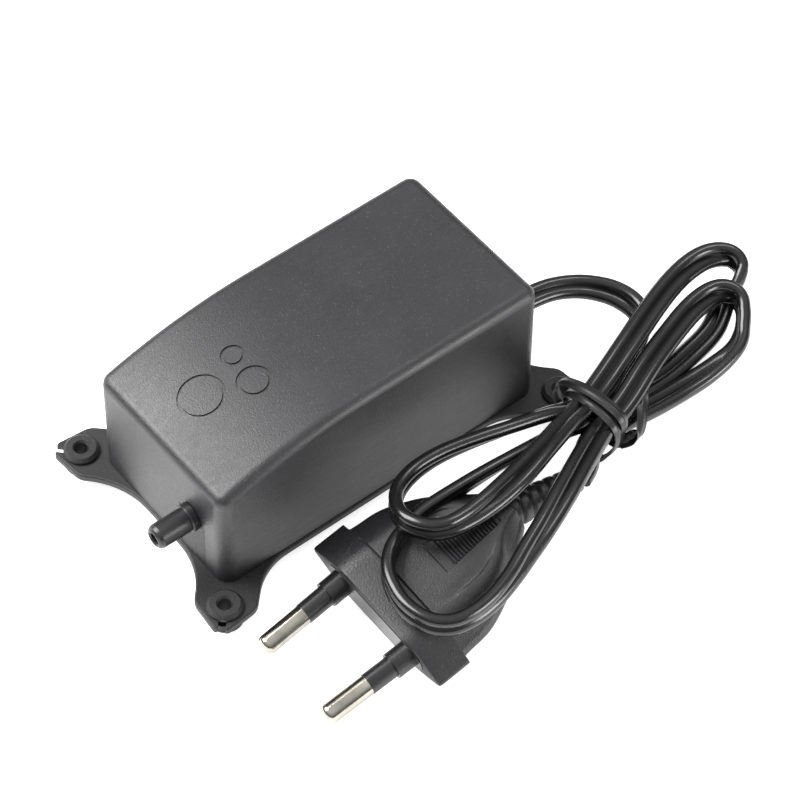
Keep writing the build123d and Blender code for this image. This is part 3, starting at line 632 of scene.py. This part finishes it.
reliefFacts = {
    "root": 31.0,  # millimetres back along the plug's own axis
    "end": (0.0440, 0.0260, 0.0105),
    "radii": (3.5, 2.45),
    "segments": 7,
    "cut": 0.55,  # how deep each ring's cut goes
    "cutPower": 5,  # the higher, the narrower the cuts
    "segmentRows": 14,
    "cutsFrom": 0.05,  # shares of the length between which the cuts lie
    "cutsTo": 0.97,
    "lip": 0.25,  # how much the end draws in
    "columns": 48,
}


def fromTable(table, places):
    # A cubic between stations. Each station's slope is the harmonic mean of its two runs' slopes, and 0
    # where they differ in sign, so the curve is smooth and never passes its own stations.
    at, values = np.array(list(table)), np.array(list(table.values()))
    runs = np.diff(values) / np.diff(at)
    both = runs[:-1] * runs[1:]
    inner = np.where(both > 0, 2 * both / np.where(both > 0, runs[:-1] + runs[1:], 1), 0)
    slopes = np.concatenate([runs[:1], inner, runs[-1:]])
    k = np.clip(np.searchsorted(at, places) - 1, 0, len(at) - 2)
    step = at[k + 1] - at[k]
    t = np.clip((places - at[k]) / step, 0, 1)
    ends = values[k] * (1 + 2 * t) * (1 - t) ** 2 + values[k + 1] * t ** 2 * (3 - 2 * t)
    return ends + step * (slopes[k] * t * (1 - t) ** 2 - slopes[k + 1] * t ** 2 * (1 - t))


def smoothStep(values, low, high):
    # 0 below low, 1 above high, and 3t^2 - 2t^3 between them.
    t = np.clip((values - low) / (high - low), 0, 1)
    return t * t * (3 - 2 * t)


def plugPlace():
    # The plug's own frame: a move to its face, then its turns one after another.
    place = Matrix.Translation(plugFacts["faceCentre"])
    for axis, degrees in plugFacts["turns"]:
        place = place @ Matrix.Rotation(math.radians(degrees), 4, axis)
    return place


def placed(grid, place):
    # Millimetres in the plug's own frame, carried to metres in the shared frame.
    turn = np.array(place.to_3x3())
    return grid * mm @ turn.T + np.array(place.translation)


def ridgeAndStrip(back, flat):
    # How round the ridge is and half the strip's width, both less where the flat top narrows.
    strip = plugFacts["strip"]
    bend = np.minimum(plugFacts["ridgeRound"], plugFacts["ridgeShare"] * flat)
    half = np.interp(back, [strip["from"], strip["to"]], [strip["half"], strip["endHalf"]])[:, None]
    return bend, np.minimum(half, (flat - bend) * 0.85)


def plugQuarter(back):
    # One quarter of each section, from the blunt side edge up and in to the middle of the top. The edge is
    # an arc, then a straight slope, a quadratic bend over the ridge, the flat top, the strip's step and the
    # strip. Every row has the same count of points on each, so that they line up.
    keys = ("halfWidths", "halfHeights", "flatHalves", "edgeHalf")
    width, height, flat, edge = (fromTable(plugFacts[key], back)[:, None] for key in keys)
    bend, half = ridgeAndStrip(back, flat)
    gap, points = plugFacts["strip"]["gap"], plugFacts["points"]
    turn = np.radians(np.linspace(0, plugFacts["edgeTurn"], points["edge"]))[None, :]
    arcX, arcZ = width - edge + edge * np.cos(turn), edge * np.sin(turn)
    slope = np.stack([flat - arcX[:, -1:], height - arcZ[:, -1:]], axis=-1)
    share = np.clip(1 - bend / np.linalg.norm(slope, axis=-1), 0.3, 1)
    t = np.linspace(0, 1, points["slope"])[None, 1:] * share
    slopeX, slopeZ = arcX[:, -1:] + slope[..., 0] * t, arcZ[:, -1:] + slope[..., 1] * t
    b = np.linspace(0, 1, points["ridge"])[None, 1:]
    bendX = (1 - b) ** 2 * slopeX[:, -1:] + 2 * b * (1 - b) * flat + b ** 2 * (flat - bend)
    bendZ = (1 - b) ** 2 * slopeZ[:, -1:] + (1 - (1 - b) ** 2) * height
    inwards = np.linspace(0, 1, points["top"])[None, 1:]
    topX = (flat - bend) + (half + gap - flat + bend) * inwards
    stripX = np.concatenate([half - gap, half * 0.66, half * 0.33, half * 0], axis=1)
    x = np.concatenate([arcX, slopeX, bendX, topX, stripX], axis=1)
    flatZ = np.broadcast_to(height, (len(back), topX.shape[1] + stripX.shape[1]))
    onFlat = np.arange(x.shape[1]) >= x.shape[1] - flatZ.shape[1]
    return x, np.concatenate([arcZ, slopeZ, bendZ, flatZ], axis=1), onFlat


def plugRelief(x, back, onFlat):
    # What the top has more or less than its plain height: the seam out to its reach, and on the flat the
    # sunk strip with its ribs and the two shallow thumb dishes. Seam and dishes are bell curves, exp(-x^2),
    # and the ribs are a cosine wave whose crests and grooves are flattened.
    seam, strip, ribs, dish = (plugFacts[key] for key in ("seam", "strip", "ribs", "dish"))
    flat = fromTable(plugFacts["flatHalves"], back)[:, None]
    s, across = back[:, None], np.abs(x)
    reach = 1 - smoothStep(across, seam["reach"], seam["reach"] + 1)
    onSeam = np.exp(-((s - seam["at"]) / seam["width"]) ** 2) * reach
    ramp = strip["ramp"]
    inStrip = across < ridgeAndStrip(back, flat)[1]
    inStrip = inStrip * smoothStep(s, strip["from"] - ramp, strip["from"] + ramp)
    inStrip = inStrip * (1 - smoothStep(s, strip["to"] - ramp, strip["to"] + ramp))
    wave = 0.5 - 0.5 * np.cos(2 * math.pi * (s - ribs["from"]) / ribs["pitch"])
    inRibs = (s > ribs["from"]) * (s < ribs["to"])
    ridge = flat - dish["inside"]
    hollow = np.exp(-((across - ridge) / dish["width"]) ** 2) * (across < flat)
    hollow = hollow * smoothStep(s, dish["from"], dish["from"] + dish["startRun"])
    hollow = hollow * (1 - smoothStep(s, dish["to"] - dish["endRun"], dish["to"]))
    hollow = hollow * smoothStep(flat - across, 0.0, dish["margin"])
    raised = ribs["height"] * smoothStep(wave, 0.3, 0.7) * inRibs * inStrip
    return (raised - strip["sunk"] * inStrip - dish["depth"] * hollow) * onFlat - seam["depth"] * onSeam


def makePlugBody():
    # Sections of four mirrored quarters, set along the plug; the top half also has its relief. The rows
    # stand closest at the seam, at the strip's start and along the ribs.
    seam, ribs = plugFacts["seam"], plugFacts["ribs"]
    back = np.concatenate([
        list(plugFacts["halfWidths"]), list(plugFacts["flatHalves"]),
        np.linspace(seam["at"] - 0.5, seam["at"] + 0.14, 9),
        np.linspace(seam["at"] + 0.24, seam["at"] + 0.6, 5),
        np.linspace(8, 16, 17), np.linspace(ribs["from"] - 2.2, ribs["from"] - 1.8, 6),
        np.arange(ribs["from"], ribs["to"] + 1.2, ribs["pitch"] / 8), np.linspace(28.8, 32.4, 13),
    ])
    back = np.unique(np.round(back, 3))
    x, z, onFlat = plugQuarter(back)
    top = z + plugRelief(x, back, onFlat)
    top[:, 0] = z[:, 0]
    ringX = np.concatenate([x, -x[:, -2::-1], -x[:, 1:], x[:, -2:0:-1]], axis=1)
    ringZ = np.concatenate([top, top[:, -2::-1], -z[:, 1:], -z[:, -2:0:-1]], axis=1)
    ringY = np.broadcast_to(back[:, None], ringX.shape)
    rings = np.stack([ringX, ringY, ringZ], axis=-1)
    return gridObject("plug_shell", placed(rings, plugPlace()), sharpDegrees=40)


def makeRelief():
    # A turned shape on the line from the plug's neck to the cord: the radius tapers evenly, less a cut at
    # each segment, a raised cosine to a power, so that rounded rings stand between narrow cuts.
    start = np.array(plugPlace() @ Vector((0, reliefFacts["root"] * mm, 0)))
    axis = np.array(reliefFacts["end"]) - start
    segments, cutsFrom, cutsTo = (reliefFacts[key] for key in ("segments", "cutsFrom", "cutsTo"))
    t = np.linspace(0, 1, segments * reliefFacts["segmentRows"] + 1)
    first, last = reliefFacts["radii"]
    cut = (0.5 + 0.5 * np.cos(2 * math.pi * segments * t)) ** reliefFacts["cutPower"] * reliefFacts["cut"]
    lip = 1 - reliefFacts["lip"] * smoothStep(t, cutsTo, 1.0)
    radius = ((first + (last - first) * t) * lip - cut * (t > cutsFrom) * (t < cutsTo)) * mm
    ahead = axis / np.linalg.norm(axis)
    side = unit(np.cross(ahead, [0.0, 0.0, 1.0]))
    upright = np.cross(side, ahead)
    turn = np.linspace(0, 2 * math.pi, reliefFacts["columns"], endpoint=False)
    ring = np.cos(turn)[:, None] * side + np.sin(turn)[:, None] * upright
    grid = start + t[:, None, None] * axis + radius[:, None, None] * ring[None]
    return gridObject("relief", grid, sharpDegrees=50)


plugShell = joinedObject("plug_shell", [makePlugBody(), makeRelief()])
dress(plugShell, "overmouldedPvc")
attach(plugShell, "housing")
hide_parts("plug_body")
print("plug shell made")


# the twist tie: a flat ribbon over a wire, twice round the bundle, twisted, and ended in an open loop

tieFacts = {
    "halfWidth": 1.2 * mm,
    "filmHalf": 0.16 * mm,
    "wireHalf": 0.38 * mm,
    "columns": 24,
    "wireShare": 0.36,  # the bulge's width as a share of the ribbon's
    "edgePower": 0.4,  # how blunt the film's edges are
    "smoothness": 8,
    "bundleAxis": (-0.32, 0.95, 0.0),  # the ribbon's width follows the bundle
}
# twice round the bundle, from the knot over the top to the left, under it and back up to the right
tieTurns = np.array([
    (0.0404, 0.0404, 0.0058), (0.0402, 0.0403, 0.0080), (0.0406, 0.0405, 0.0104), (0.0403, 0.0405, 0.0126),
    (0.0385, 0.0400, 0.0140), (0.0353, 0.0396, 0.0144), (0.0319, 0.0391, 0.0143), (0.0286, 0.0384, 0.0136),
    (0.0254, 0.0379, 0.0120), (0.0246, 0.0370, 0.0100), (0.0249, 0.0371, 0.0080), (0.0255, 0.0376, 0.0060),
    (0.0272, 0.0384, 0.0042), (0.0302, 0.0388, 0.0030), (0.0338, 0.0384, 0.0026), (0.0370, 0.0368, 0.0026),
    (0.0396, 0.0354, 0.0036), (0.0407, 0.0368, 0.0054), (0.0415, 0.0382, 0.0082), (0.0411, 0.0386, 0.0112),
    (0.0396, 0.0382, 0.0131), (0.0369, 0.0379, 0.0138), (0.0337, 0.0375, 0.0139), (0.0304, 0.0374, 0.0132),
    (0.0277, 0.0371, 0.0115), (0.0268, 0.0376, 0.0088), (0.0277, 0.0390, 0.0056), (0.0308, 0.0402, 0.0036),
    (0.0346, 0.0408, 0.0030), (0.0378, 0.0406, 0.0036), (0.0397, 0.0404, 0.0048), (0.0406, 0.0406, 0.0058),
])
tieLoop = np.array([
    (0.0403, 0.0402, 0.0055), (0.0415, 0.0417, 0.0060), (0.0419, 0.0432, 0.0070), (0.0407, 0.0449, 0.0080),
    (0.0389, 0.0466, 0.0090), (0.0369, 0.0483, 0.0096), (0.0352, 0.0497, 0.0094),
])
knotFacts = {
    "from": (0.0398, 0.0404, 0.0055),
    "to": (0.0409, 0.0431, 0.0071),
    "radius": 0.5 * mm,  # from the knot's middle line to each strand's
    "half": (0.95 * mm, 0.52 * mm),  # each strand is squeezed to an oval
    "turns": 1.25,
    "rows": 80,
}


def tieSection():
    # Half height over the width: a thin film, and a round bulge exp(-(x / w)^2) over the wire.
    turn = np.linspace(0, 2 * math.pi, tieFacts["columns"], endpoint=False)
    x = tieFacts["halfWidth"] * np.cos(turn)
    bulge = np.exp(-(x / (tieFacts["wireShare"] * tieFacts["halfWidth"])) ** 2)
    height = tieFacts["filmHalf"] + (tieFacts["wireHalf"] - tieFacts["filmHalf"]) * bulge
    blunt = np.sign(np.sin(turn)) * np.abs(np.sin(turn)) ** tieFacts["edgePower"]
    return np.stack([x, height * blunt], axis=-1)


def wrappedRibbon(name, line):
    # The tie's section carried along a line, with its width along the bundle wherever the line allows.
    ahead = unit(np.gradient(line, axis=0))
    axis = np.array(tieFacts["bundleAxis"])
    across = unit(axis - ahead * (ahead @ axis)[:, None])
    through = np.cross(ahead, across)
    section = tieSection()
    grid = line[:, None] + across[:, None] * section[None, :, :1] + through[:, None] * section[None, :, 1:]
    return gridObject(name, grid, along=lengths(line))


def twistedEnd(name, phase):
    # One of the two ends, wound as a helix about the knot's line.
    start, end = np.array(knotFacts["from"]), np.array(knotFacts["to"])
    t = np.linspace(0, 1, knotFacts["rows"])
    ahead = unit(end - start)
    side = unit(np.cross(ahead, [0.0, 0.0, 1.0]))
    upright = np.cross(side, ahead)
    angle = 2 * math.pi * knotFacts["turns"] * t + phase
    swing = np.cos(angle)[:, None] * side + np.sin(angle)[:, None] * upright
    line = start + t[:, None] * (end - start) + swing * knotFacts["radius"]
    forwards = unit(np.gradient(line, axis=0))
    across = unit(np.cross(forwards, swing))
    turn = np.linspace(0, 2 * math.pi, tieFacts["columns"], endpoint=False)
    section = np.stack([np.cos(turn), np.sin(turn)], axis=-1) * knotFacts["half"]
    grid = line[:, None] + across[:, None] * section[None, :, :1] + swing[:, None] * section[None, :, 1:]
    return gridObject(name, grid, along=lengths(line))


tieParts = [
    wrappedRibbon("tieTurns", splinePoints("tieLine", tieTurns, tieFacts["smoothness"])),
    wrappedRibbon("tieLoop", splinePoints("tieLoopLine", tieLoop, tieFacts["smoothness"])),
    twistedEnd("tieEndA", 0.0),
    twistedEnd("tieEndB", math.pi),
]
twistTie = joinedObject("twist_tie", tieParts)
dress(twistTie, "ribbonPvc")
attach(twistTie, "housing")
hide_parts("cord_tie")
print("twist tie made")


# floor and light: a lit white table, a soft box above the front left, a small one above the rear that
# lines the cord's cores, and a low one behind the right

studio = {
    "floorHalf": 0.7,
    "floorColour": "#e8e8e8",
    "floorGlow": 0.75,
    "lamps": {
        "softBox": {"from": (-0.50, -0.42, 0.76), "distance": 0.9, "size": 0.6, "power": 16},
        "rearBox": {"from": (0.0, 0.55, 0.83), "distance": 0.9, "size": 0.2, "power": 1.2},
        "rimBox": {"from": (0.85, 0.42, 0.24), "distance": 0.9, "size": 0.3, "power": 4.5},
    },
    "sky": {0.0: 0.10, 0.52: 0.10, 0.68: 0.35, 0.85: 0.9, 1.0: 1.2},  # height from below to above, strength
    "seenSky": 1.1,
}


def makeSky():
    # Strength by height alone, dark at eye level, and an even pale ground for what the eye sees past
    # the table.
    world = bpy.data.worlds.new("studio")
    bpy.context.scene.world = world
    world.use_nodes = True
    tree = world.node_tree
    tree.nodes.clear()
    direction = addNode(tree, "ShaderNodeTexCoord").outputs["Generated"]
    height = addNode(tree, "ShaderNodeSeparateXYZ", links={"Vector": direction}).outputs["Z"]
    share = spread(tree, height, 0.0, 1.0, -1.0, 1.0)
    ramp = addNode(tree, "ShaderNodeValToRGB", links={"Fac": share})
    for stop in list(ramp.color_ramp.elements)[1:]:
        ramp.color_ramp.elements.remove(stop)
    for number, (place, strength) in enumerate(studio["sky"].items()):
        stop = ramp.color_ramp.elements[0] if number == 0 else ramp.color_ramp.elements.new(place)
        stop.position = place
        stop.color = (strength, strength, strength, 1)
    lit = addNode(tree, "ShaderNodeBackground", links={"Color": ramp.outputs["Color"]})
    seen = addNode(tree, "ShaderNodeBackground", {"Strength": studio["seenSky"]})
    seen.inputs["Color"].default_value = (1, 1, 1, 1)
    eye = addNode(tree, "ShaderNodeLightPath").outputs["Is Camera Ray"]
    both = addNode(tree, "ShaderNodeMixShader", links={0: eye, 1: lit.outputs[0], 2: seen.outputs[0]})
    addNode(tree, "ShaderNodeOutputWorld", links={"Surface": both.outputs[0]})


def makeLamp(name, look):
    # A square lamp that looks at the origin from its direction.
    lamp = bpy.data.objects.new(name, bpy.data.lights.new(name, "AREA"))
    bpy.context.scene.collection.objects.link(lamp)
    lamp.data.size = look["size"]
    lamp.data.energy = look["power"]
    direction = Vector(look["from"]).normalized()
    lamp.location = direction * look["distance"]
    lamp.rotation_mode = "QUATERNION"
    lamp.rotation_quaternion = direction.to_track_quat("Z", "Y")


def makeFloor():
    # A white sheet with a glow of its own, so that it stays white and throws hardly any shadow.
    half = studio["floorHalf"]
    corners = [(-half, -half, 0), (half, -half, 0), (half, half, 0), (-half, half, 0)]
    mesh = bpy.data.meshes.new("floor")
    mesh.from_pydata(corners, [], [(0, 1, 2, 3)])
    floor = bpy.data.objects.new("floor", mesh)
    bpy.context.scene.collection.objects.link(floor)
    paint, _, shader, _ = newSurface("litWhiteSheet")
    shader.inputs["Base Color"].default_value = linear(studio["floorColour"])
    shader.inputs["Roughness"].default_value = 0.8
    shader.inputs["Emission Color"].default_value = (1, 1, 1, 1)
    shader.inputs["Emission Strength"].default_value = studio["floorGlow"]
    mesh.materials.append(paint)


makeSky()
for lampName, lampLook in studio["lamps"].items():
    makeLamp(lampName, lampLook)
makeFloor()
bpy.context.scene.view_settings.view_transform = "Standard"
print("floor and light set")
